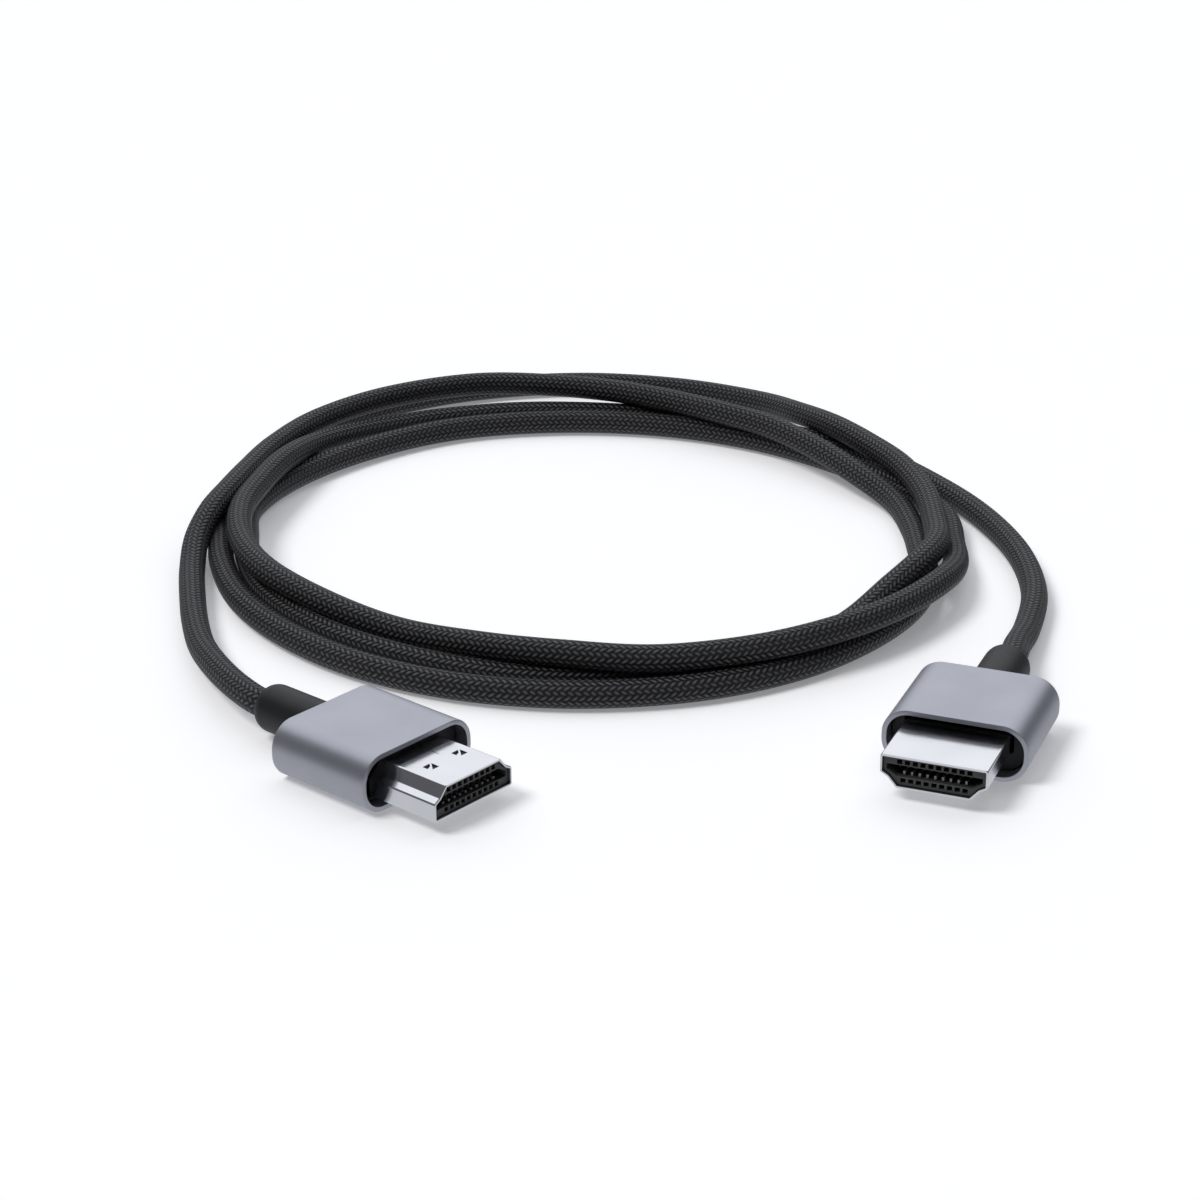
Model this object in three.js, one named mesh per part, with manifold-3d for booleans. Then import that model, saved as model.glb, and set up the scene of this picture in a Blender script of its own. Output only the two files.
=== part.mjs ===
// HDMI cable: a slim aluminium plug at each end of a braided cord that lies in three loose turns.
// Millimetres, +Z up. The cable lies on the floor z = 0, and the origin is on the floor at the
// middle of the box around the two plugs. +X runs from the left plug to the right plug, and the
// coil lies behind them, towards +Y.

import * as THREE from 'three';
import { mergeVertices } from 'three/addons/utils/BufferGeometryUtils.js';
import Module from 'manifold-3d';

const wasm = await Module();
wasm.setup();

// A plug's own frame has +X towards the socket, Y across and Z through the thickness. Its origin
// is the middle of the housing's mouth, and the shell's narrow side faces +Z.
const housing = {
  width: 19.4,
  thickness: 7.9,
  length: 16.7,
  cornerRadius: 3.6,
  wall: 0.6,
  bevel: 0.25,
  backWall: 1.4,
  holeRadius: 3.6,
};

const core = { mouthDepth: 2.0 };

// The shell's heights are measured from its wide side.
const shell = {
  halfWidth: 6.95,
  shoulderHalfWidth: 6.0,
  narrowHalfWidth: 4.8,
  height: 4.45,
  sideHeight: 2.55,
  shoulderHeight: 3.08,
  sheet: 0.3,
  reach: 9.7,
  rootDepth: 9.7,
};

// The two latch windows are square holes with a slanting spring tongue left standing in each.
// The outlines are of the open parts, along X and across Y from the window's rear corner.
const latch = {
  cornerX: 3.95,
  cornersY: [-3.1, 2.0],
  openings: [
    [[0, 0], [0.78, 0], [0.51, 0.75], [0, 1.15]],
    [[1.45, 0.45], [1.45, 1.5], [0.12, 1.5], [0.76, 0.97]],
  ],
};

// A short slit where the bent sheet of the shell meets.
const seam = { front: 2.9, rear: -1.6, width: 0.12, offset: 0.9 };

const insert = { recess: 0.4, slotDepth: 8.0 };

// The slot for the socket's tongue, with heights from the shell's wide side.
const slot = {
  wideHeight: 1.38,
  bendHeight: 2.1,
  narrowHeight: 2.93,
  wideHalfWidth: 6.2,
  narrowHalfWidth: 4.9,
};

const hole = { width: 0.62, height: 0.55, depth: 1.2 };

// Two rows of contacts lie on the slot's walls, each behind a square hole in the front face.
const contact = { pitch: 1.0, width: 0.28, length: 6.0, setback: 0.5, seat: 0.1 };
const rows = {
  wide: { count: 10, holeHeight: 0.94, wallHeight: slot.wideHeight, rise: 0.3, up: 1 },
  narrow: { count: 9, holeHeight: 3.45, wallHeight: slot.narrowHeight, rise: 0.5, up: -1 },
};

const boot = { radius: 3.3, reach: 11.2, endRadius: 2.0, roundLength: 1.9, sides: 32 };
const cord = { radius: 1.95, sides: 8, steps: 80, lead: 1.5 };

// Gaps left between pieces that touch in the real cable.
const gap = 0.3;
const insertGap = 0.2;

// Where each plug's mouth lies, and the direction of its +X in degrees. A flipped plug lies with
// the shell's wide side up.
const plugs = {
  left: { x: -30.45, y: -9.51, yaw: -41.3, flipped: false },
  right: { x: 37.68, y: -5.46, yaw: -112.64, flipped: true },
};

// The cord's route is a list chosen by hand of bearing in degrees, radius and height of the cord's
// centre, about the middle of the coil. It runs clockwise, seen from above, from the left plug.
const coilMiddle = { x: -9.06, y: 72.89 };
const leftTail = [
  [-129.2, 74.6, 3.8],
  [-135.8, 71.3, 3.2],
  [-143, 68.0, 2.4],
  [-151, 64.7, 2.04],
  [-160, 62.1, 2.02],
  [-169, 60.8, 2.15],
  [-177, 60.1, 3.7],
  [-184, 58.9, 5.4],
  [-192, 58.1, 5.95],
  [-201, 58.8, 5.95],
  [-212, 61.2, 5.95],
];
const firstTurn = [
  [-225, 64.8, 5.9],
  [-239, 67.5, 5.8],
  [-253, 67.6, 5.8],
  [-264, 64, 5.85],
  [-275, 60, 5.85],
  [-285, 56.2, 5.85],
  [-295, 53.1, 5.85],
  [-306, 51.5, 5.55],
  [-318, 50, 4.8],
  [-331, 49.6, 3.6],
  [-344, 50.9, 2.2],
  [-358, 50.6, 2.02],
  [-368, 51.1, 2.02],
  [-380, 53.5, 2.02],
  [-392, 55, 2.02],
  [-406, 56, 2.02],
  [-420, 57, 2.02],
  [-435, 57.5, 2.02],
  [-452, 57.5, 2.02],
  [-468, 57.3, 2.02],
  [-484, 56.8, 2.02],
  [-500, 56.2, 2.02],
  [-515, 56.1, 2.02],
  [-530, 56.2, 2.02],
  [-541, 57, 2.02],
  [-552, 59.4, 2.02],
  [-564, 63.1, 2.02],
];
const secondTurn = [
  [-578, 67.4, 2.02],
  [-594, 71.9, 2.02],
  [-612, 75.3, 2.02],
  [-628, 76, 2.02],
  [-642, 74.2, 2.04],
  [-656, 68.9, 2.9],
  [-666, 62.3, 4.6],
  [-676, 57.9, 5.8],
  [-687, 55.6, 5.9],
  [-698, 54.6, 5.85],
  [-710, 53.9, 5.3],
  [-723, 53.3, 5],
  [-734, 53.8, 5.7],
  [-742, 52.9, 5.6],
  [-751, 51.3, 4.2],
  [-762, 50.6, 2.1],
  [-775, 51.9, 2.02],
  [-790, 53.3, 2.02],
  [-806, 53.3, 2.02],
  [-822, 52.7, 2.02],
  [-840, 51.6, 2.02],
  [-858, 51.5, 2.02],
  [-876, 51.9, 2.02],
  [-891, 52.2, 2.02],
  [-902, 53.1, 2.02],
  [-914, 55.4, 2.02],
];
const thirdTurn = [
  [-930, 55.9, 2.02],
  [-948, 56, 2.02],
  [-966, 56.4, 2.02],
  [-985, 55.1, 2.02],
  [-1004, 54, 2.02],
  [-1022, 53.1, 2.02],
  [-1040, 52.8, 2.02],
  [-1057, 54.3, 2.02],
  [-1072, 56.5, 2.02],
  [-1085, 56.1, 2.04],
  [-1095, 56.9, 3.1],
  [-1106, 57.6, 5],
  [-1118, 57.3, 5.6],
  [-1130, 56.8, 5.8],
  [-1144, 55.9, 5.65],
  [-1160, 54.4, 5.5],
  [-1174, 52.2, 5.7],
  [-1188, 49.5, 4.9],
  [-1204, 48, 4],
  [-1220, 49.3, 4.9],
  [-1236, 51.8, 5.8],
  [-1250, 53.1, 5.85],
  [-1264, 54, 5.85],
  [-1276, 54.5, 5.85],
  [-1288, 56.2, 5.8],
];
const rightTail = [
  [-1302, 60, 4],
  [-1318, 62.8, 2.02],
  [-1336, 61.3, 2.02],
  [-1354, 58.9, 2.02],
  [-1372, 57.8, 2.02],
  [-1390, 58, 2.02],
  [-1406, 59.4, 2.02],
  [-1420, 60.3, 2.02],
  [-1433, 62.5, 2.02],
  [-1447, 65.9, 2.02],
  [-1460, 69.6, 2.02],
  [-1471, 72.6, 2.2],
  [-1477.4, 75, 3.2],
];

const materials = {
  housing: new THREE.MeshStandardMaterial({ color: 0xb4b8c2, roughness: 0.42, metalness: 0.85 }),
  shell: new THREE.MeshStandardMaterial({ color: 0xe0e2e6, roughness: 0.22, metalness: 1.0 }),
  core: new THREE.MeshStandardMaterial({ color: 0x141416, roughness: 0.6, metalness: 0.0 }),
  insert: new THREE.MeshStandardMaterial({ color: 0x3a3a3c, roughness: 0.55, metalness: 0.0 }),
  contact: new THREE.MeshStandardMaterial({ color: 0x8c8a84, roughness: 0.35, metalness: 1.0 }),
  boot: new THREE.MeshStandardMaterial({ color: 0x2a2a2c, roughness: 0.6, metalness: 0.0 }),
  cable: new THREE.MeshStandardMaterial({ color: 0x303034, roughness: 0.75, metalness: 0.0 }),
};

function toSolid(geometry) {
  const bare = geometry.clone();
  bare.deleteAttribute('normal');
  bare.deleteAttribute('uv');
  const merged = mergeVertices(bare, 1e-5);
  const vertProperties = Float32Array.from(merged.attributes.position.array);
  const triVerts = Uint32Array.from(merged.index.array);
  return new wasm.Manifold(new wasm.Mesh({ numProp: 3, vertProperties, triVerts }));
}

function toGeometry(solid) {
  const mesh = solid.getMesh();
  const geometry = new THREE.BufferGeometry();
  geometry.setAttribute('position', new THREE.BufferAttribute(mesh.vertProperties, 3));
  geometry.setIndex(new THREE.BufferAttribute(mesh.triVerts, 1));
  geometry.computeVertexNormals();
  return geometry;
}

function cut(geometry, cutters) {
  let solid = toSolid(geometry);
  for (const cutter of cutters) solid = solid.subtract(toSolid(cutter));
  return toGeometry(solid);
}

// Turns an outline's own x, y and depth into a plug's Y, Z and X.
const outlineToPlug = new THREE.Matrix4().makeBasis(
  new THREE.Vector3(0, 1, 0),
  new THREE.Vector3(0, 0, 1),
  new THREE.Vector3(1, 0, 0),
);

// A section drawn across a plug, drawn out along X between two places.
function alongX(outline, from, to, bevel = 0) {
  const geometry = new THREE.ExtrudeGeometry(outline, {
    depth: to - from - 2 * bevel,
    bevelEnabled: bevel > 0,
    bevelThickness: bevel,
    bevelSize: bevel,
    bevelOffset: -bevel,
    bevelSegments: 1,
    curveSegments: 8,
  });
  geometry.applyMatrix4(outlineToPlug);
  return geometry.translate(from + bevel, 0, 0);
}

function roundedRect(width, height, radius) {
  const x = width / 2 - radius;
  const y = height / 2 - radius;
  const outline = new THREE.Shape();
  outline.absarc(x, y, radius, 0, Math.PI / 2);
  outline.absarc(-x, y, radius, Math.PI / 2, Math.PI);
  outline.absarc(-x, -y, radius, Math.PI, 1.5 * Math.PI);
  outline.absarc(x, -y, radius, 1.5 * Math.PI, 2 * Math.PI);
  outline.closePath();
  return outline;
}

// Moves each side of a closed outline outwards by the same distance. The points run
// anticlockwise, and a negative distance moves the sides inwards.
function offsetPoints(points, distance) {
  return points.map((point, i) => {
    const before = points[(i + points.length - 1) % points.length];
    const after = points[(i + 1) % points.length];
    const into = point.clone().sub(before).normalize();
    const out = after.clone().sub(point).normalize();
    const normal = new THREE.Vector2(into.y + out.y, -into.x - out.x).normalize();
    const reach = distance / (normal.x * out.y - normal.y * out.x);
    return point.clone().addScaledVector(normal, reach);
  });
}

// The shell's outer outline across the plug, anticlockwise from the wide side.
function shellPoints() {
  const middle = shell.height / 2;
  const right = [
    [shell.halfWidth, 0],
    [shell.halfWidth, shell.sideHeight],
    [shell.shoulderHalfWidth, shell.shoulderHeight],
    [shell.narrowHalfWidth, shell.height],
  ];
  const left = right.map(([y, z]) => [-y, z]).reverse();
  return [...right, ...left].map(([y, z]) => new THREE.Vector2(y, z - middle));
}

function shellOutline(offset) {
  return new THREE.Shape(offsetPoints(shellPoints(), offset));
}

function tongueSlotOutline() {
  const middle = shell.height / 2;
  const right = [
    [slot.wideHalfWidth, slot.wideHeight],
    [slot.wideHalfWidth, slot.bendHeight],
    [slot.narrowHalfWidth, slot.narrowHeight],
  ];
  const left = right.map(([y, z]) => [-y, z]).reverse();
  return new THREE.Shape([...right, ...left].map(([y, z]) => new THREE.Vector2(y, z - middle)));
}

function contactPlaces(row) {
  return Array.from({ length: row.count }, (_, i) => (i - (row.count - 1) / 2) * contact.pitch);
}

function block(from, to, y, width, z, height) {
  return new THREE.BoxGeometry(to - from, width, height).translate((from + to) / 2, y, z);
}

function housingGeometry() {
  const inner = roundedRect(
    housing.width - 2 * housing.wall,
    housing.thickness - 2 * housing.wall,
    housing.cornerRadius - housing.wall,
  );
  const outer = roundedRect(housing.width, housing.thickness, housing.cornerRadius);
  const cavity = alongX(inner, housing.backWall - housing.length, 1);
  const hole = new THREE.CylinderGeometry(housing.holeRadius, housing.holeRadius, 4, 40);
  hole.rotateZ(Math.PI / 2).translate(-housing.length, 0, 0);
  return cut(alongX(outer, -housing.length, 0, housing.bevel), [cavity, hole]);
}

const coreBack = housing.backWall - housing.length + gap;

function coreGeometry() {
  const inset = 2 * (housing.wall + gap);
  const outline = roundedRect(
    housing.width - inset,
    housing.thickness - inset,
    housing.cornerRadius - inset / 2,
  );
  const pocket = alongX(shellOutline(gap), -shell.rootDepth - gap, 0);
  return cut(alongX(outline, coreBack, -core.mouthDepth), [pocket]);
}

function shellGeometry() {
  const bore = alongX(shellOutline(-shell.sheet), -shell.rootDepth - 1, shell.reach + 1);
  const top = shell.height / 2;
  const windows = latch.cornersY.flatMap((cornerY) => latch.openings.map((points) => {
    const outline = new THREE.Shape(points.map(([x, y]) => new THREE.Vector2(x, y)));
    const cutter = new THREE.ExtrudeGeometry(outline, { depth: 2 * shell.sheet, bevelEnabled: false });
    return cutter.translate(latch.cornerX, cornerY, top - 1.5 * shell.sheet);
  }));
  const slit = block(seam.rear, seam.front, seam.offset, seam.width, top, 4 * shell.sheet);
  return cut(alongX(shellOutline(0), -shell.rootDepth, shell.reach), [bore, ...windows, slit]);
}

function insertGeometry() {
  const front = shell.reach - insert.recess;
  const middle = shell.height / 2;
  const tongueSlot = alongX(tongueSlotOutline(), front - insert.slotDepth, front + 1);
  const holes = Object.values(rows).flatMap((row) => contactPlaces(row).map((y) => (
    block(front - hole.depth, front + 1, y, hole.width, row.holeHeight - middle, hole.height)
  )));
  const body = alongX(shellOutline(-shell.sheet - insertGap), -shell.rootDepth, front);
  return cut(body, [tongueSlot, ...holes]);
}

function contactGeometry(row, y) {
  const front = shell.reach - insert.recess - contact.setback;
  const middle = shell.height / 2;
  const z = row.wallHeight - middle + row.up * (contact.seat + row.rise / 2);
  return block(front - contact.length, front, y, contact.width, z, row.rise);
}

// The boot is a round sleeve from inside the housing to its rounded end around the cord.
function bootGeometry() {
  const root = gap - coreBack;
  const end = housing.length + boot.reach;
  const profile = new THREE.Path();
  profile.moveTo(0, root);
  profile.lineTo(boot.radius, root);
  profile.lineTo(boot.radius, end - boot.roundLength);
  const roundRise = boot.radius - boot.endRadius;
  profile.absellipse(boot.endRadius, end - boot.roundLength, roundRise, boot.roundLength, 0, Math.PI / 2);
  profile.lineTo(0, end);
  return new THREE.LatheGeometry(profile.getPoints(6), boot.sides).rotateZ(Math.PI / 2);
}

// The centre of a plug's axis at a distance along its +X from the mouth.
function alongPlug(plug, distance) {
  const yaw = THREE.MathUtils.degToRad(plug.yaw);
  const x = plug.x + distance * Math.cos(yaw);
  const y = plug.y + distance * Math.sin(yaw);
  return new THREE.Vector3(x, y, housing.thickness / 2);
}

function cablePath() {
  const coil = [...leftTail, ...firstTurn, ...secondTurn, ...thirdTurn, ...rightTail];
  const points = coil.map(([bearing, radius, height]) => {
    const angle = THREE.MathUtils.degToRad(bearing);
    const x = coilMiddle.x + radius * Math.cos(angle);
    const y = coilMiddle.y + radius * Math.sin(angle);
    return new THREE.Vector3(x, y, height);
  });
  const exit = -(housing.length + boot.reach + gap);
  const leftExit = [alongPlug(plugs.left, exit), alongPlug(plugs.left, exit - cord.lead)];
  const rightExit = [alongPlug(plugs.right, exit - cord.lead), alongPlug(plugs.right, exit)];
  return new THREE.CatmullRomCurve3([...leftExit, ...points, ...rightExit]);
}

function cableGeometry() {
  const corners = Array.from({ length: cord.sides }, (_, i) => {
    const angle = ((i + 0.5) / cord.sides) * 2 * Math.PI;
    return new THREE.Vector2(cord.radius * Math.cos(angle), cord.radius * Math.sin(angle));
  });
  const options = { steps: cord.steps, extrudePath: cablePath(), bevelEnabled: false };
  return new THREE.ExtrudeGeometry(new THREE.Shape(corners), options);
}

function mesh(name, geometry, material) {
  const piece = new THREE.Mesh(geometry, material);
  piece.name = name;
  return piece;
}

function makePlug(side, plug) {
  const group = new THREE.Group();
  group.add(
    mesh(`${side}_housing`, housingGeometry(), materials.housing),
    mesh(`${side}_core`, coreGeometry(), materials.core),
    mesh(`${side}_shell`, shellGeometry(), materials.shell),
    mesh(`${side}_insert`, insertGeometry(), materials.insert),
    mesh(`${side}_boot`, bootGeometry(), materials.boot),
  );
  for (const [rowName, row] of Object.entries(rows)) {
    contactPlaces(row).forEach((y, i) => {
      const name = `${side}_${rowName}_contact_${i + 1}`;
      group.add(mesh(name, contactGeometry(row, y), materials.contact));
    });
  }
  group.position.copy(alongPlug(plug, 0));
  const turn = plug.flipped ? Math.PI : 0;
  group.rotation.set(turn, 0, THREE.MathUtils.degToRad(plug.yaw), 'ZYX');
  return group;
}

const hdmiCable = new THREE.Group();
hdmiCable.name = 'hdmi_cable';
for (const [side, plug] of Object.entries(plugs)) hdmiCable.add(makePlug(side, plug));
hdmiCable.add(mesh('cable', cableGeometry(), materials.cable));

export default hdmiCable;
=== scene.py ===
"""Looks of the HDMI cable: camera, braided cord, plugs, materials, floor and light.

Metres and +Z up. Plug pieces are drawn in millimetres in the plug's own frame, with +X towards
the socket and the shell's narrow side towards +Z, and placed by plug_matrix.
"""
import math

import bmesh
import bpy
import numpy as np
from mathutils import Matrix, Vector


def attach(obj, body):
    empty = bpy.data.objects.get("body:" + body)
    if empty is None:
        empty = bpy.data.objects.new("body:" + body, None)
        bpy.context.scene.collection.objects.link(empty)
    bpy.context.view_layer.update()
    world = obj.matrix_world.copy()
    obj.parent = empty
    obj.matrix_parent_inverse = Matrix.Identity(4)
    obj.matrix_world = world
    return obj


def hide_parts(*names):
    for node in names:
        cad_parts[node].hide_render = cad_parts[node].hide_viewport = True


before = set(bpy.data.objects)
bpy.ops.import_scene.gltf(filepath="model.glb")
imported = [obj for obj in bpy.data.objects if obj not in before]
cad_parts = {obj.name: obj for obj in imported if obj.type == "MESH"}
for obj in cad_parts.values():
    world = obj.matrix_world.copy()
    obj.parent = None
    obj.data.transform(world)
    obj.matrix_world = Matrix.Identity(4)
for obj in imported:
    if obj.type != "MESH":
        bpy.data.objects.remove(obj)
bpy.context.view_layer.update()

MM = 0.001
BODY = "root"

# The camera that the photograph was taken with, as fitted to the plugs.
CAMERA_PLACE = (-0.007314, -0.311113, 0.1539)
CAMERA_PITCH = 22.92
CAMERA_ROLL = -0.516
CAMERA_LENS = 80.0
CAMERA_SENSOR = 36.0

# The sky is a bright cap round one direction. Its edge is given as cosines from that direction,
# and the horizon's fade as heights on the unit sphere.
SKY_STRENGTH = 1.0
SKY_CAP_TOWARDS = (0.0, 0.6, 0.8)
SKY_CAP_EDGE = (0.6, 0.8)
SKY_HORIZON = (0.05, -0.25)
SKY_BELOW = 0.58
SKY_DARK = (0.10, 0.103, 0.112)
SKY_BRIGHT = (0.93, 0.95, 1.0)
KEY_STRENGTH = 1.65
KEY_SPREAD = 24.0
KEY_TOWARDS = (-0.5, -0.15, 0.8)
FLOOR_SIZE = 8.0
FLOOR_DROP = 0.00002
FLOOR_COLOR = (0.885, 0.88, 0.883, 1.0)
FLOOR_GLOW_COLOR = (0.97, 0.975, 1.0, 1.0)
FLOOR_GLOW = 0.23

# A plug's sizes in millimetres. The shell's and slot's heights run from the shell's wide side.
HOUSING = {"width": 19.4, "thickness": 7.9, "length": 16.7, "radius": 3.6, "wall": 0.68, "back": 1.4}
# Bevels, as pairs of a distance along the plug and how far the outline is drawn in there.
BACK_BEVEL = [(0.0, 0.35), (0.1, 0.1), (0.35, 0.0)]
MOUTH_BEVEL = [(-0.16, 0.0), (-0.05, 0.04), (0.0, 0.14)]
RIM_EASE = 0.05
BACK_HOLE = {"radius": 3.4, "bevel": 0.1}
SHELL_HALF = [(6.95, 0.0), (6.95, 2.55), (6.0, 3.08), (4.8, 4.45)]
SHELL_HEIGHT = 4.45
SHELL_SHEET = 0.3
SHELL_REACH = 9.7
SHELL_ROOT = -9.7
SHELL_LIP = [(-0.11, 0.0), (0.0, 0.08), (0.0, 0.28), (-0.05, SHELL_SHEET)]
SHELL_CORNER = 0.4
INNER_CORNER = 0.12
# Each latch window is two openings, drawn from its corner, with the spring's strip left between them.
LATCH_DEPTH = 0.45
LATCH_CORNERS = [(3.95, -3.1), (3.95, 2.0)]
LATCH_OPENINGS = [
    [(0, 0), (0.92, 0), (0.6, 0.76), (0, 1.25)],
    [(1.45, 0.34), (1.45, 1.5), (0.06, 1.5), (0.74, 0.95)],
]
SEAM = {"front": 2.9, "rear": -1.6, "width": 0.12, "offset": 0.9, "depth": 0.2}
INSERT_FRONT = 9.3
INSERT_GAP = 0.02
INSERT_BEVEL = 0.06
SLOT_HALF = [(6.2, 1.38), (6.2, 2.1), (4.9, 2.93)]
SLOT_DEPTH = 8.0
HOLE = {"width": 0.68, "height": 0.62, "depth": 1.2, "pitch": 1.0}
HOLE_ROWS = [(10, 0.94), (9, 3.45)]
BOOT = {"radius": 3.3, "root": -15.3, "end": -27.9, "end_radius": 2.0, "round": 1.9, "inner_radius": 0.4}
BOOT_STEPS = 12
BOOT_SIDES = 64
# The hole in the boot's end, as pairs of a distance from the end and how far it is drawn in there.
BOOT_LIP = [(0.25, 0.03), (1.5, 0.05)]

# Edges of a piece stay sharp where its faces turn by more than this, in degrees.
SHARP_ANGLE = {"housing": 28, "shell": 32, "insert": 30, "boot": 40}

# How far a cutter reaches past the face that it opens.
TOP_CLEAR = 0.2
FRONT_CLEAR = 1.0

PLUGS = {
    "left": {"x": -30.45, "y": -9.51, "yaw": -41.3, "flipped": False},
    "right": {"x": 37.68, "y": -5.46, "yaw": -112.64, "flipped": True},
}

# The cord, in metres. It starts a little way inside each boot's end.
CORD_RADIUS = 0.00195
CORD_SIDES = 32
CORD_STEP = 0.0008
SPAN_SAMPLES = 40
CORD_EXIT = 0.0282
CORD_LEAD = 0.0015
CORD_TUCK = 0.0006
COIL_MIDDLE = (-0.00906, 0.07289)

# BRAID_YARNS yarns lie side by side round the cord each way, and along the cord one follows another
# every BRAID_PITCH metres. A yarn runs over FLOAT_YARNS others, then under as many. The wobble is
# in yarns. The two powers shape a yarn's arch along it and its round back across it.
BRAID_YARNS = 16
BRAID_PITCH = 0.00100
BRAID_RELIEF = 0.00016
BRAID_WOBBLE = 0.35
FLOAT_YARNS = 2.0
ARCH_POWER = 0.4
BACK_POWER = 2.5
FIBRE_SCALE = 9000.0
FIBRE_CONTRAST = 0.25

# The lower and upper values that a noise mostly lies between, and the relief of a fine grain.
NOISE_LOW = 0.3
NOISE_HIGH = 0.7
GRAIN_RELIEF = 0.00004

# The same points as the solids' route: bearing in degrees about the coil's middle,
# radius and height in metres, clockwise from the left plug.
ROUTE = [
    (-129.2, 0.0746, 0.0038),
    (-135.8, 0.0713, 0.0032),
    (-143, 0.0680, 0.0024),
    (-151, 0.0647, 0.00204),
    (-160, 0.0621, 0.00202),
    (-169, 0.0608, 0.00215),
    (-177, 0.0601, 0.0037),
    (-184, 0.0589, 0.0054),
    (-192, 0.0581, 0.00595),
    (-201, 0.0588, 0.00595),
    (-212, 0.0612, 0.00595),
    (-225, 0.0648, 0.0059),
    (-239, 0.0675, 0.0058),
    (-253, 0.0676, 0.0058),
    (-264, 0.0640, 0.00585),
    (-275, 0.0600, 0.00585),
    (-285, 0.0562, 0.00585),
    (-295, 0.0531, 0.00585),
    (-306, 0.0515, 0.00555),
    (-318, 0.0500, 0.0048),
    (-331, 0.0496, 0.0036),
    (-344, 0.0509, 0.0022),
    (-358, 0.0506, 0.00202),
    (-368, 0.0511, 0.00202),
    (-380, 0.0535, 0.00202),
    (-392, 0.0550, 0.00202),
    (-406, 0.0560, 0.00202),
    (-420, 0.0570, 0.00202),
    (-435, 0.0575, 0.00202),
    (-452, 0.0575, 0.00202),
    (-468, 0.0573, 0.00202),
    (-484, 0.0568, 0.00202),
    (-500, 0.0562, 0.00202),
    (-515, 0.0561, 0.00202),
    (-530, 0.0562, 0.00202),
    (-541, 0.0570, 0.00202),
    (-552, 0.0594, 0.00202),
    (-564, 0.0631, 0.00202),
    (-578, 0.0674, 0.00202),
    (-594, 0.0719, 0.00202),
    (-612, 0.0753, 0.00202),
    (-628, 0.0760, 0.00202),
    (-642, 0.0742, 0.00204),
    (-656, 0.0689, 0.0029),
    (-666, 0.0623, 0.0046),
    (-676, 0.0579, 0.0058),
    (-687, 0.0556, 0.0059),
    (-698, 0.0546, 0.00585),
    (-710, 0.0539, 0.0053),
    (-723, 0.0533, 0.005),
    (-734, 0.0538, 0.0057),
    (-742, 0.0529, 0.0056),
    (-751, 0.0513, 0.0042),
    (-762, 0.0506, 0.0021),
    (-775, 0.0519, 0.00202),
    (-790, 0.0533, 0.00202),
    (-806, 0.0533, 0.00202),
    (-822, 0.0527, 0.00202),
    (-840, 0.0516, 0.00202),
    (-858, 0.0515, 0.00202),
    (-876, 0.0519, 0.00202),
    (-891, 0.0522, 0.00202),
    (-902, 0.0531, 0.00202),
    (-914, 0.0554, 0.00202),
    (-930, 0.0559, 0.00202),
    (-948, 0.0560, 0.00202),
    (-966, 0.0564, 0.00202),
    (-985, 0.0551, 0.00202),
    (-1004, 0.0540, 0.00202),
    (-1022, 0.0531, 0.00202),
    (-1040, 0.0528, 0.00202),
    (-1057, 0.0543, 0.00202),
    (-1072, 0.0565, 0.00202),
    (-1085, 0.0561, 0.00204),
    (-1095, 0.0569, 0.0031),
    (-1106, 0.0576, 0.005),
    (-1118, 0.0573, 0.0056),
    (-1130, 0.0568, 0.0058),
    (-1144, 0.0559, 0.00565),
    (-1160, 0.0544, 0.0055),
    (-1174, 0.0522, 0.0057),
    (-1188, 0.0495, 0.0049),
    (-1204, 0.0480, 0.004),
    (-1220, 0.0493, 0.0049),
    (-1236, 0.0518, 0.0058),
    (-1250, 0.0531, 0.00585),
    (-1264, 0.0540, 0.00585),
    (-1276, 0.0545, 0.00585),
    (-1288, 0.0562, 0.0058),
    (-1302, 0.0600, 0.004),
    (-1318, 0.0628, 0.00202),
    (-1336, 0.0613, 0.00202),
    (-1354, 0.0589, 0.00202),
    (-1372, 0.0578, 0.00202),
    (-1390, 0.0580, 0.00202),
    (-1406, 0.0594, 0.00202),
    (-1420, 0.0603, 0.00202),
    (-1433, 0.0625, 0.00202),
    (-1447, 0.0659, 0.00202),
    (-1460, 0.0696, 0.00202),
    (-1471, 0.0726, 0.0022),
    (-1477.4, 0.0750, 0.0032),
]


def plug_matrix(plug):
    turn = math.pi if plug["flipped"] else 0.0
    place = Matrix.Translation(Vector((plug["x"], plug["y"], HOUSING["thickness"] / 2)) * MM)
    return place @ Matrix.Rotation(math.radians(plug["yaw"]), 4, "Z") @ Matrix.Rotation(turn, 4, "X")


def make_camera():
    data = bpy.data.cameras.new("camera")
    data.lens = CAMERA_LENS
    data.sensor_width = CAMERA_SENSOR
    data.clip_start = 0.01
    camera = bpy.data.objects.new("camera", data)
    tilt = Matrix.Rotation(math.radians(90 - CAMERA_PITCH), 4, "X")
    roll = Matrix.Rotation(math.radians(CAMERA_ROLL), 4, "Z")
    camera.matrix_world = Matrix.Translation(CAMERA_PLACE) @ tilt @ roll
    bpy.context.scene.collection.objects.link(camera)
    bpy.context.scene.camera = camera


# Node helpers and materials.


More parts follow.
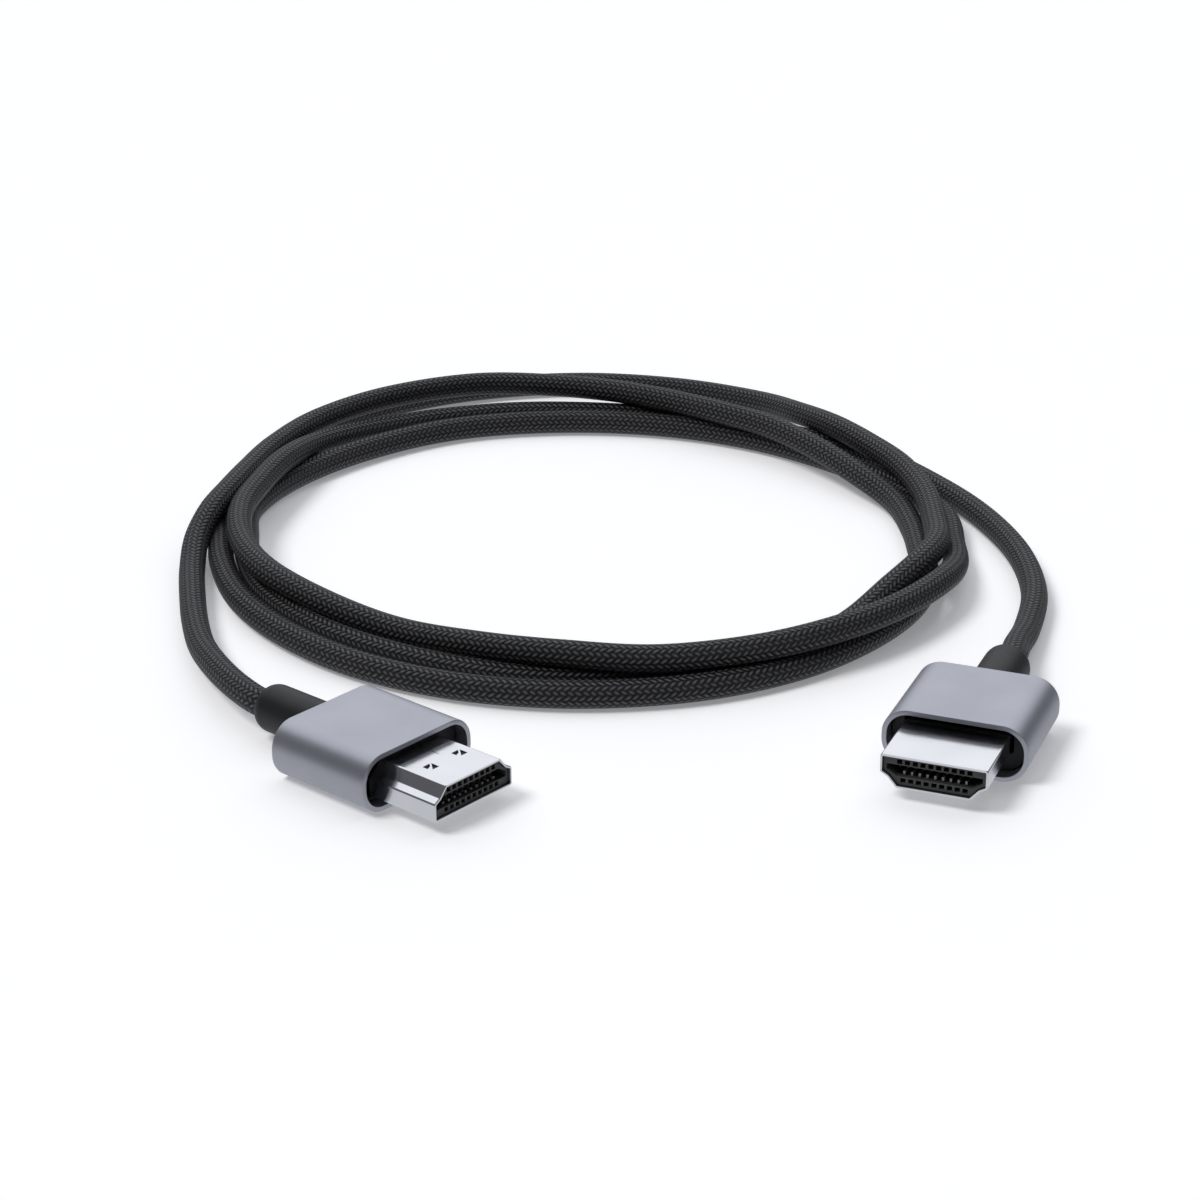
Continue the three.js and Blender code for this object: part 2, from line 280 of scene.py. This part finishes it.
class Nodes:
    """Adds nodes to a material or world, with short calls for the ones that repeat."""

    def __init__(self, owner, shader):
        self.owner = owner
        owner.use_nodes = True
        self.tree = owner.node_tree
        self.shader = self.tree.nodes[shader]

    def add(self, kind, **values):
        node = self.tree.nodes.new(kind)
        for key, value in values.items():
            setattr(node, key, value)
        return node

    def link(self, output, socket):
        self.tree.links.new(output, socket)

    def put(self, value, socket):
        if isinstance(value, bpy.types.NodeSocket):
            self.link(value, socket)
        else:
            socket.default_value = value

    def math(self, operation, first, second=0.0):
        node = self.add("ShaderNodeMath", operation=operation)
        self.put(first, node.inputs[0])
        self.put(second, node.inputs[1])
        return node.outputs[0]

    def noise(self, scale, detail=2.0, roughness=0.5, vector=None):
        node = self.add("ShaderNodeTexNoise")
        node.inputs["Scale"].default_value = scale
        node.inputs["Detail"].default_value = detail
        node.inputs["Roughness"].default_value = roughness
        if vector is None:
            vector = self.add("ShaderNodeTexCoord").outputs["Object"]
        self.link(vector, node.inputs["Vector"])
        return node.outputs["Fac"]

    def remap(self, value, start, stop, low, high, shape="LINEAR"):
        """Maps the values from start to stop onto those from low to high."""
        node = self.add("ShaderNodeMapRange", interpolation_type=shape)
        self.link(value, node.inputs["Value"])
        node.inputs["From Min"].default_value = start
        node.inputs["From Max"].default_value = stop
        node.inputs["To Min"].default_value = low
        node.inputs["To Max"].default_value = high
        return node.outputs["Result"]

    def spread(self, noise, low, high):
        """Maps a noise onto the values from low to high."""
        return self.remap(noise, NOISE_LOW, NOISE_HIGH, low, high)

    def blend(self, noise, low, high):
        """Blends two colours by a noise."""
        return self.ramp(noise, [(NOISE_LOW, low), (NOISE_HIGH, high)])

    def ramp(self, value, stops):
        node = self.add("ShaderNodeValToRGB")
        self.link(value, node.inputs["Fac"])
        elements = node.color_ramp.elements
        while len(elements) < len(stops):
            elements.new(0.5)
        for element, (position, color) in zip(elements, stops):
            element.position = position
            element.color = (*color, 1.0)
        return node.outputs["Color"]

    def bump(self, height, strength, distance):
        node = self.add("ShaderNodeBump")
        node.inputs["Strength"].default_value = strength
        node.inputs["Distance"].default_value = distance
        self.link(height, node.inputs["Height"])
        self.link(node.outputs["Normal"], self.shader.inputs["Normal"])

    def set(self, **values):
        for key, value in values.items():
            self.put(value, self.shader.inputs[key.replace("_", " ")])


def new_material(name):
    return Nodes(bpy.data.materials.new(name), "Principled BSDF")


def grey(value, blue=1.0):
    return (value, value, value * blue)


def housing_material():
    """Bead-blasted, anodised aluminium in a cool lilac grey."""
    n = new_material("housing_anodised")
    color = n.blend(n.noise(140.0), (0.49, 0.50, 0.55), (0.53, 0.54, 0.59))
    grain = n.noise(9000.0, 2.0, 0.7)
    n.set(Base_Color=color, Metallic=0.9, Roughness=n.spread(grain, 0.38, 0.5))
    n.bump(grain, 0.12, GRAIN_RELIEF)
    return n.owner


def shell_material():
    """Bright nickel plate with faint marks from drawing."""
    n = new_material("shell_nickel")
    position = n.add("ShaderNodeTexCoord").outputs["Object"]
    stretch = n.add("ShaderNodeMapping")
    n.link(position, stretch.inputs["Vector"])
    stretch.inputs["Scale"].default_value = (1.0, 6.0, 6.0)
    marks = n.noise(500.0, 3.0, 0.6, stretch.outputs["Vector"])
    color = n.ramp(n.noise(160.0), [(0.25, (0.80, 0.81, 0.83)), (0.75, (0.88, 0.885, 0.90))])
    n.set(Base_Color=color, Metallic=1.0, Roughness=n.spread(marks, 0.13, 0.2))
    n.bump(marks, 0.015, 0.00001)
    return n.owner


def plastic_material(name, low, high, roughness, scale, strength):
    """Moulded plastic with a fine spark-eroded grain."""
    n = new_material(name)
    grain = n.noise(scale, 3.0, 0.6)
    color = n.blend(n.noise(scale * 0.05), low, high)
    n.set(Base_Color=color, Roughness=n.spread(grain, roughness - 0.06, roughness + 0.06))
    n.bump(grain, strength, GRAIN_RELIEF)
    return n.owner


def contact_material(name, low, high):
    """The contacts' plate, dull as it is seen inside the slot."""
    n = new_material(name)
    cloud = n.noise(900.0)
    n.set(Base_Color=n.blend(cloud, low, high), Metallic=0.6, Roughness=n.spread(cloud, 0.4, 0.55))
    return n.owner


def braid_material():
    """Two sets of yarn wound both ways round the cord, each over some of the other and under as many.

    The tube's UV map holds the turn round the cord and the distance along it in metres.
    """
    n = new_material("cord_braid")
    uv = n.add("ShaderNodeUVMap", uv_map="braid").outputs["UV"]
    split = n.add("ShaderNodeSeparateXYZ")
    n.link(uv, split.inputs[0])
    around = n.math("MULTIPLY", split.outputs["X"], float(BRAID_YARNS))
    along = n.math("DIVIDE", split.outputs["Y"], BRAID_PITCH)
    wobble = n.math("MULTIPLY", n.math("SUBTRACT", n.noise(500.0, 1.0), 0.5), BRAID_WOBBLE)
    along = n.math("ADD", along, wobble)
    first = n.math("ADD", around, along)
    second = n.math("SUBTRACT", around, along)
    cell = n.math("ADD", n.math("FLOOR", first), n.math("FLOOR", second))
    repeat = n.math("FLOORED_MODULO", cell, 2 * FLOAT_YARNS)
    first_on_top = n.math("LESS_THAN", repeat, FLOAT_YARNS - 0.5)

    def float_height(across, other):
        """How high a yarn lies along the stretch where it runs on top."""
        offset = n.math("ADD", n.math("FLOOR", across), other)
        phase = n.math("FLOORED_MODULO", offset, FLOAT_YARNS)
        arch = n.math("SINE", n.math("MULTIPLY", phase, math.pi / FLOAT_YARNS))
        return n.math("POWER", arch, ARCH_POWER)

    def side_height(across):
        """How high a yarn's round back is from its middle to its sides."""
        middle = n.math("SUBTRACT", n.math("FRACT", across), 0.5)
        from_middle = n.math("MULTIPLY", n.math("ABSOLUTE", middle), 2.0)
        return n.math("SUBTRACT", 1.0, n.math("POWER", from_middle, BACK_POWER))

    first_height = n.math("MULTIPLY", side_height(first), float_height(first, second))
    second_height = n.math("MULTIPLY", side_height(second), float_height(second, first))
    mix = n.add("ShaderNodeMix", data_type="FLOAT")
    n.put(first_on_top, mix.inputs[0])
    n.put(second_height, mix.inputs[2])
    n.put(first_height, mix.inputs[3])
    height = mix.outputs[0]
    fibres = n.noise(FIBRE_SCALE, 2.0)
    # The colour follows the yarns' height: near black low down is painted shade in the gaps between the
    # yarns, and the lighter backs are painted highlight. The fibres add the yarn's own random tone.
    painted_light_and_fibres = n.math("ADD", height, n.math("MULTIPLY", n.math("SUBTRACT", fibres, 0.5), FIBRE_CONTRAST))
    color = n.ramp(painted_light_and_fibres, [(0.3, grey(0.0012)), (0.7, grey(0.012, 1.04)), (1.0, grey(0.09, 1.05))])
    n.set(Base_Color=color, Roughness=n.spread(fibres, 0.42, 0.6))
    n.bump(height, 1.0, BRAID_RELIEF)
    return n.owner


# Mesh helpers.


def smooth_but_sharp(mesh, angle):
    """Smooth shading that keeps edges sharp above an angle in degrees."""
    mesh.shade_smooth()
    mesh.set_sharp_from_angle(angle=math.radians(angle))


def add_piece(name, mesh, material, smooth_angle=None):
    mesh.materials.append(material)
    if smooth_angle is not None:
        smooth_but_sharp(mesh, smooth_angle)
    piece = bpy.data.objects.new(name, mesh)
    bpy.context.scene.collection.objects.link(piece)
    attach(piece, BODY)
    return piece


def loft(name, rings, matrix, cyclic=False, capped=False):
    """Skins rings of equally many points. A cyclic loft joins the last ring to the first."""
    mesh = bmesh.new()
    verts = [[mesh.verts.new(matrix @ (Vector(p) * MM)) for p in points] for points in rings]
    count = len(rings[0])
    following = verts[1:] + verts[:1] if cyclic else verts[1:]
    for low, high in zip(verts, following):
        for i in range(count):
            j = (i + 1) % count
            mesh.faces.new((low[i], low[j], high[j], high[i]))
    if capped:
        mesh.faces.new(verts[0])
        mesh.faces.new(verts[-1])
    bmesh.ops.recalc_face_normals(mesh, faces=mesh.faces)
    data = bpy.data.meshes.new(name)
    mesh.to_mesh(data)
    mesh.free()
    return data


def ring(outline, x):
    """An outline in Y and Z, placed at a distance along the plug."""
    return [(x, y, z) for y, z in outline]


def arc(centre, radius, start, end, steps):
    angles = [start + (end - start) * i / steps for i in range(steps + 1)]
    return [(centre[0] + radius * math.cos(a), centre[1] + radius * math.sin(a)) for a in angles]


def rounded_rect(width, height, radius, steps=14):
    x, y = width / 2 - radius, height / 2 - radius
    quarter = math.pi / 2
    corners = [((x, y), 0), ((-x, y), 1), ((-x, -y), 2), ((x, -y), 3)]
    return [p for centre, k in corners for p in arc(centre, radius, k * quarter, (k + 1) * quarter, steps)]


def circle(radius, like):
    """A circle with as many points as another outline, started at the same bearing."""
    count = len(like)
    first = math.atan2(like[0][1], like[0][0])
    angles = [first + 2 * math.pi * i / count for i in range(count)]
    return [(radius * math.cos(a), radius * math.sin(a)) for a in angles]


def both_halves(half):
    """A closed outline from its right half, with heights taken from the shell's middle."""
    outline = half + [(-y, z) for y, z in reversed(half)]
    return [(y, z - SHELL_HEIGHT / 2) for y, z in outline]


def offset_outline(points, distance):
    """Moves each side of an anticlockwise outline outwards, or inwards for a negative distance."""
    moved = []
    for i, point in enumerate(points):
        here = Vector(point)
        into = (here - Vector(points[i - 1])).normalized()
        out = (Vector(points[(i + 1) % len(points)]) - here).normalized()
        normal = Vector((into.y + out.y, -into.x - out.x)).normalized()
        reach = distance / (normal.x * out.y - normal.y * out.x)
        moved.append(tuple(here + normal * reach))
    return moved


def round_corners(points, radius, steps=5):
    """Rounds every corner of an outline with an arc that touches both of its sides."""
    rounded = []
    for i, point in enumerate(points):
        here = Vector(point)
        into = (here - Vector(points[i - 1])).normalized()
        out = (Vector(points[(i + 1) % len(points)]) - here).normalized()
        turn = into.angle_signed(out)
        reach = radius * math.tan(abs(turn) / 2)
        start, end = here - into * reach, here + out * reach
        for k in range(steps + 1):
            t = k / steps
            rounded.append(tuple(start * (1 - t) ** 2 + here * 2 * t * (1 - t) + end * t ** 2))
    return rounded


def join_meshes(meshes):
    whole = bmesh.new()
    for data in meshes:
        whole.from_mesh(data)
    joined = bpy.data.meshes.new("cutters")
    whole.to_mesh(joined)
    whole.free()
    return joined


def cut(piece, cutters):
    """Cuts closed meshes out of a piece, all at once."""
    tool = bpy.data.objects.new("cutter", join_meshes(cutters))
    bpy.context.scene.collection.objects.link(tool)
    modifier = piece.modifiers.new("cut", "BOOLEAN")
    modifier.object = tool
    modifier.solver = "EXACT"
    bpy.context.view_layer.update()
    evaluated = piece.evaluated_get(bpy.context.evaluated_depsgraph_get())
    result = bpy.data.meshes.new_from_object(evaluated)
    piece.modifiers.clear()
    piece.data = result
    bpy.data.objects.remove(tool)


def weigh_normals(piece):
    """Keeps flat faces flat beside small rounded edges."""
    modifier = piece.modifiers.new("normals", "WEIGHTED_NORMAL")
    modifier.keep_sharp = True


def top_cutter(outline, low, high, matrix):
    """An outline in X and Y drawn out along Z."""
    return loft("cutter", [[(x, y, z) for x, y in outline] for z in (low, high)], matrix, capped=True)


def front_cutter(outline, depth, matrix):
    """An outline in Y and Z drawn out from a depth behind the insert's front to past it."""
    ends = [ring(outline, INSERT_FRONT - depth), ring(outline, INSERT_FRONT + FRONT_CLEAR)]
    return loft("cutter", ends, matrix, capped=True)


# The cord.


def axis_point(plug, distance):
    """A point on a plug's axis, behind its mouth by a distance in metres."""
    yaw = math.radians(plug["yaw"])
    x = plug["x"] * MM - distance * math.cos(yaw)
    y = plug["y"] * MM - distance * math.sin(yaw)
    return (x, y, HOUSING["thickness"] / 2 * MM)


def route_points():
    left, right = PLUGS["left"], PLUGS["right"]
    start = CORD_EXIT - CORD_TUCK
    points = [axis_point(left, start), axis_point(left, CORD_EXIT + CORD_LEAD)]
    for bearing, radius, height in ROUTE:
        angle = math.radians(bearing)
        x = COIL_MIDDLE[0] + radius * math.cos(angle)
        y = COIL_MIDDLE[1] + radius * math.sin(angle)
        points.append((x, y, height))
    points += [axis_point(right, CORD_EXIT + CORD_LEAD), axis_point(right, start)]
    return np.array(points)


def smooth_curve(points, step):
    """Evenly spaced samples of a centripetal Catmull-Rom curve through the points, and its length."""
    first = 2 * points[0] - points[1]
    last = 2 * points[-1] - points[-2]
    padded = np.vstack([first, points, last])
    samples = []
    for p0, p1, p2, p3 in zip(padded, padded[1:], padded[2:], padded[3:]):
        d0, d1, d2 = (math.sqrt(np.linalg.norm(b - a)) for a, b in ((p0, p1), (p1, p2), (p2, p3)))
        m1 = ((p1 - p0) / d0 - (p2 - p0) / (d0 + d1) + (p2 - p1) / d1) * d1
        m2 = ((p2 - p1) / d1 - (p3 - p1) / (d1 + d2) + (p3 - p2) / d2) * d1
        squared = 3 * (p2 - p1) - 2 * m1 - m2
        cubed = 2 * (p1 - p2) + m1 + m2
        s = np.linspace(0, 1, SPAN_SAMPLES, endpoint=False)[:, None]
        samples.append(p1 + m1 * s + squared * s ** 2 + cubed * s ** 3)
    fine = np.vstack(samples + [points[-1:]])
    reach = np.concatenate([[0], np.cumsum(np.linalg.norm(np.diff(fine, axis=0), axis=1))])
    count = int(round(reach[-1] / step)) + 1
    even = np.linspace(0, reach[-1], count)
    return np.stack([np.interp(even, reach, fine[:, k]) for k in range(3)], 1), reach[-1]


def frames_along(curve):
    """Two crosswise directions at each sample, turned as little as possible from one to the next."""
    tangents = np.gradient(curve, axis=0)
    tangents /= np.linalg.norm(tangents, axis=1)[:, None]
    sides = np.zeros_like(curve)
    side = np.cross(tangents[0], (0, 0, 1.0))
    for i, tangent in enumerate(tangents):
        side = side - tangent * np.dot(side, tangent)
        side /= np.linalg.norm(side)
        sides[i] = side
    return sides, np.cross(sides, tangents)


def tube_mesh(curve, length):
    """A round tube. Its UV map holds the turn round it and the distance along it in metres."""
    sides, ups = frames_along(curve)
    angles = 2 * np.pi * np.arange(CORD_SIDES) / CORD_SIDES
    around = np.cos(angles)[None, :, None] * sides[:, None] + np.sin(angles)[None, :, None] * ups[:, None]
    verts = (curve[:, None] + CORD_RADIUS * around).reshape(-1, 3)
    spans = len(curve) - 1
    column = np.arange(CORD_SIDES)
    row = np.arange(spans)[:, None]
    a, b = row * CORD_SIDES + column, row * CORD_SIDES + (column + 1) % CORD_SIDES
    faces = np.stack([a, b, b + CORD_SIDES, a + CORD_SIDES], -1).reshape(-1, 4)
    caps = [column[::-1].tolist(), (spans * CORD_SIDES + column).tolist()]
    mesh = bpy.data.meshes.new("cord")
    mesh.from_pydata(verts.tolist(), [], faces.tolist() + caps)
    turn = np.stack([column, column + 1, column + 1, column], -1) / CORD_SIDES
    reach = np.stack([row, row, row + 1, row + 1], -1) * (length / spans)
    shape = (spans, CORD_SIDES, 4)
    pairs = np.stack([np.broadcast_to(turn, shape), np.broadcast_to(reach, shape)], -1).reshape(-1, 2)
    pairs = np.vstack([pairs, np.zeros((2 * CORD_SIDES, 2))])
    uv = mesh.uv_layers.new(name="braid")
    uv.data.foreach_set("uv", pairs.astype(np.float32).ravel())
    mesh.update()
    return mesh


def make_cord(material):
    curve, length = smooth_curve(route_points(), CORD_STEP)
    # Between its points the curve can dip, so it is held on the floor.
    curve[:, 2] = np.maximum(curve[:, 2], CORD_RADIUS)
    cord = add_piece("cord", tube_mesh(curve, length), material)
    cord.data.shade_smooth()
    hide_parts("cable")


# The plugs.


def make_housing(side, matrix, material):
    """A sleeve with round sides, a bevelled mouth and a back wall around the boot."""
    wall = HOUSING["wall"]

    def outline(inset):
        width, thickness = HOUSING["width"] - 2 * inset, HOUSING["thickness"] - 2 * inset
        return rounded_rect(width, thickness, HOUSING["radius"] - inset)

    back = -HOUSING["length"]
    inner_back = back + HOUSING["back"]
    bevel = BACK_HOLE["bevel"]
    hole = circle(BACK_HOLE["radius"], outline(0))
    wider_hole = circle(BACK_HOLE["radius"] + bevel, outline(0))
    rings = [ring(hole, inner_back), ring(hole, back + bevel), ring(wider_hole, back)]
    rings += [ring(outline(inset), back + x) for x, inset in BACK_BEVEL]
    rings += [ring(outline(inset), x) for x, inset in MOUTH_BEVEL]
    rings += [ring(outline(wall - RIM_EASE), 0.0), ring(outline(wall), -RIM_EASE)]
    rings += [ring(outline(wall), inner_back)]
    mesh = loft(f"{side}_sleeve", rings, matrix, cyclic=True)
    piece = add_piece(f"{side}_sleeve", mesh, material, SHARP_ANGLE["housing"])
    weigh_normals(piece)
    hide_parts(f"{side}_housing")


def make_shell(side, matrix, material):
    """The drawn metal tube, with a rounded front lip, two latch windows and a seam."""
    sharp = both_halves(SHELL_HALF)

    def outline(inset):
        return round_corners(offset_outline(sharp, -inset), max(SHELL_CORNER - inset, INNER_CORNER))

    rings = [ring(outline(0.0), SHELL_ROOT)]
    rings += [ring(outline(inset), SHELL_REACH + x) for x, inset in SHELL_LIP]
    rings += [ring(outline(SHELL_SHEET), SHELL_ROOT)]
    mesh = loft(f"{side}_tube", rings, matrix, cyclic=True)
    piece = add_piece(f"{side}_tube", mesh, material)
    top = SHELL_HEIGHT / 2
    cutters = []
    for corner_x, corner_y in LATCH_CORNERS:
        for opening in LATCH_OPENINGS:
            points = [(corner_x + x, corner_y + y) for x, y in opening]
            cutters.append(top_cutter(points, top - LATCH_DEPTH, top + TOP_CLEAR, matrix))
    low, high = SEAM["offset"] - SEAM["width"] / 2, SEAM["offset"] + SEAM["width"] / 2
    slit = [(SEAM["rear"], low), (SEAM["front"], low), (SEAM["front"], high), (SEAM["rear"], high)]
    cutters.append(top_cutter(slit, top - SEAM["depth"], top + TOP_CLEAR, matrix))
    cut(piece, cutters)
    smooth_but_sharp(piece.data, SHARP_ANGLE["shell"])
    weigh_normals(piece)
    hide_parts(f"{side}_shell")


def make_insert(side, matrix, material):
    """The contact carrier, with the tongue slot and two rows of square holes in its front."""
    sharp = both_halves(SHELL_HALF)

    def outline(inset):
        return round_corners(offset_outline(sharp, -inset), INNER_CORNER, 3)

    body = SHELL_SHEET + INSERT_GAP
    rings = [
        ring(outline(body), SHELL_ROOT),
        ring(outline(body), INSERT_FRONT - INSERT_BEVEL),
        ring(outline(body + INSERT_BEVEL), INSERT_FRONT),
    ]
    mesh = loft(f"{side}_carrier", rings, matrix, capped=True)
    piece = add_piece(f"{side}_carrier", mesh, material)
    cutters = [front_cutter(both_halves(SLOT_HALF), SLOT_DEPTH, matrix)]
    w, h = HOLE["width"] / 2, HOLE["height"] / 2
    for count, height in HOLE_ROWS:
        z = height - SHELL_HEIGHT / 2
        for i in range(count):
            y = (i - (count - 1) / 2) * HOLE["pitch"]
            square = [(y - w, z - h), (y + w, z - h), (y + w, z + h), (y - w, z + h)]
            cutters.append(front_cutter(square, HOLE["depth"], matrix))
    cut(piece, cutters)
    smooth_but_sharp(piece.data, SHARP_ANGLE["insert"])
    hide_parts(f"{side}_insert")


def make_boot(side, matrix, material):
    """A round sleeve with a soft rounded end around the cord."""
    full, end, tip = BOOT["radius"], BOOT["end"], BOOT["end_radius"]
    profile = [(BOOT["root"], BOOT["inner_radius"]), (BOOT["root"], full), (end + BOOT["round"], full)]
    for k in range(1, BOOT_STEPS + 1):
        angle = math.pi / 2 * k / BOOT_STEPS
        x = end + BOOT["round"] * (1 - math.sin(angle))
        profile.append((x, tip + (full - tip) * math.cos(angle)))
    profile += [(end + x, tip - inset) for x, inset in BOOT_LIP]
    profile.append((profile[-1][0], BOOT["inner_radius"]))
    start = [(1.0, 0.0)] * BOOT_SIDES
    rings = [ring(circle(radius, start), x) for x, radius in profile]
    mesh = loft(f"{side}_relief", rings, matrix, cyclic=True)
    piece = add_piece(f"{side}_relief", mesh, material, SHARP_ANGLE["boot"])
    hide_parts(f"{side}_boot")


def dress_nodes(side, plastic, bed, roof_painted_shade):
    """Gives the solids that stay their own materials. The contacts on the slot's roof get painted shade: a
    darker copy of the plate.
    """
    roof_row = "wide" if PLUGS[side]["flipped"] else "narrow"
    for name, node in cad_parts.items():
        if not name.startswith(side):
            continue
        if name.endswith("_core"):
            material = plastic
        elif "_contact_" in name:
            material = roof_painted_shade if f"_{roof_row}_" in name else bed
        else:
            continue
        node.data.materials.clear()
        node.data.materials.append(material)


# Floor and light.


def make_floor():
    bpy.ops.mesh.primitive_plane_add(size=FLOOR_SIZE, location=(0, 0, -FLOOR_DROP))
    floor = bpy.context.object
    floor.name = "floor"
    floor.visible_glossy = False
    n = new_material("floor_paper")
    n.set(Base_Color=FLOOR_COLOR, Roughness=0.9, Specular_IOR_Level=0.1)
    n.set(Emission_Color=FLOOR_GLOW_COLOR, Emission_Strength=FLOOR_GLOW)
    floor.data.materials.append(n.owner)


def make_sky():
    """A studio with a broad bright ceiling that leans to the back, and dark round the sides.

    Below the horizon it has the grey that the metal shows there, as metal doesn't mirror the floor.
    """
    n = Nodes(bpy.data.worlds.new("studio"), "Background")
    direction = n.add("ShaderNodeTexCoord").outputs["Generated"]
    towards = n.add("ShaderNodeVectorMath", operation="DOT_PRODUCT")
    n.put(direction, towards.inputs[0])
    n.put(SKY_CAP_TOWARDS, towards.inputs[1])
    cap = n.remap(towards.outputs["Value"], *SKY_CAP_EDGE, 0.0, 1.0, "SMOOTHSTEP")
    height = n.add("ShaderNodeSeparateXYZ")
    n.put(direction, height.inputs[0])
    below = n.remap(height.outputs["Z"], *SKY_HORIZON, 0.0, SKY_BELOW)
    color = n.ramp(n.math("MAXIMUM", cap, below), [(0.0, SKY_DARK), (1.0, SKY_BRIGHT)])
    n.set(Color=color, Strength=SKY_STRENGTH)
    bpy.context.scene.world = n.owner


def make_light():
    """A broad soft light from above, to the left and a little in front."""
    data = bpy.data.lights.new("key", "SUN")
    data.angle = math.radians(KEY_SPREAD)
    data.energy = KEY_STRENGTH
    light = bpy.data.objects.new("key", data)
    light.rotation_euler = Vector(KEY_TOWARDS).to_track_quat("Z", "Y").to_euler()
    light.visible_glossy = False
    bpy.context.scene.collection.objects.link(light)
    bpy.context.scene.view_settings.view_transform = "Standard"


make_camera()
make_cord(braid_material())
housing, shell = housing_material(), shell_material()
insert = plastic_material("carrier_plastic", grey(0.045), grey(0.055), 0.55, 5000.0, 0.08)
black = plastic_material("core_plastic", grey(0.006), grey(0.009), 0.6, 5000.0, 0.05)
rubber = plastic_material("boot_plastic", grey(0.009), grey(0.013), 0.5, 7000.0, 0.12)
bed_contact = contact_material("contact_plate", grey(0.24), grey(0.32))
# The contact plate painted darker: painted shade for the contacts under the slot's roof.
roof_contact_painted_shade = contact_material("contact_shaded", grey(0.012), grey(0.018))
for side, plug in PLUGS.items():
    matrix = plug_matrix(plug)
    make_housing(side, matrix, housing)
    make_shell(side, matrix, shell)
    make_insert(side, matrix, insert)
    make_boot(side, matrix, rubber)
    dress_nodes(side, black, bed_contact, roof_contact_painted_shade)
make_floor()
make_sky()
make_light()
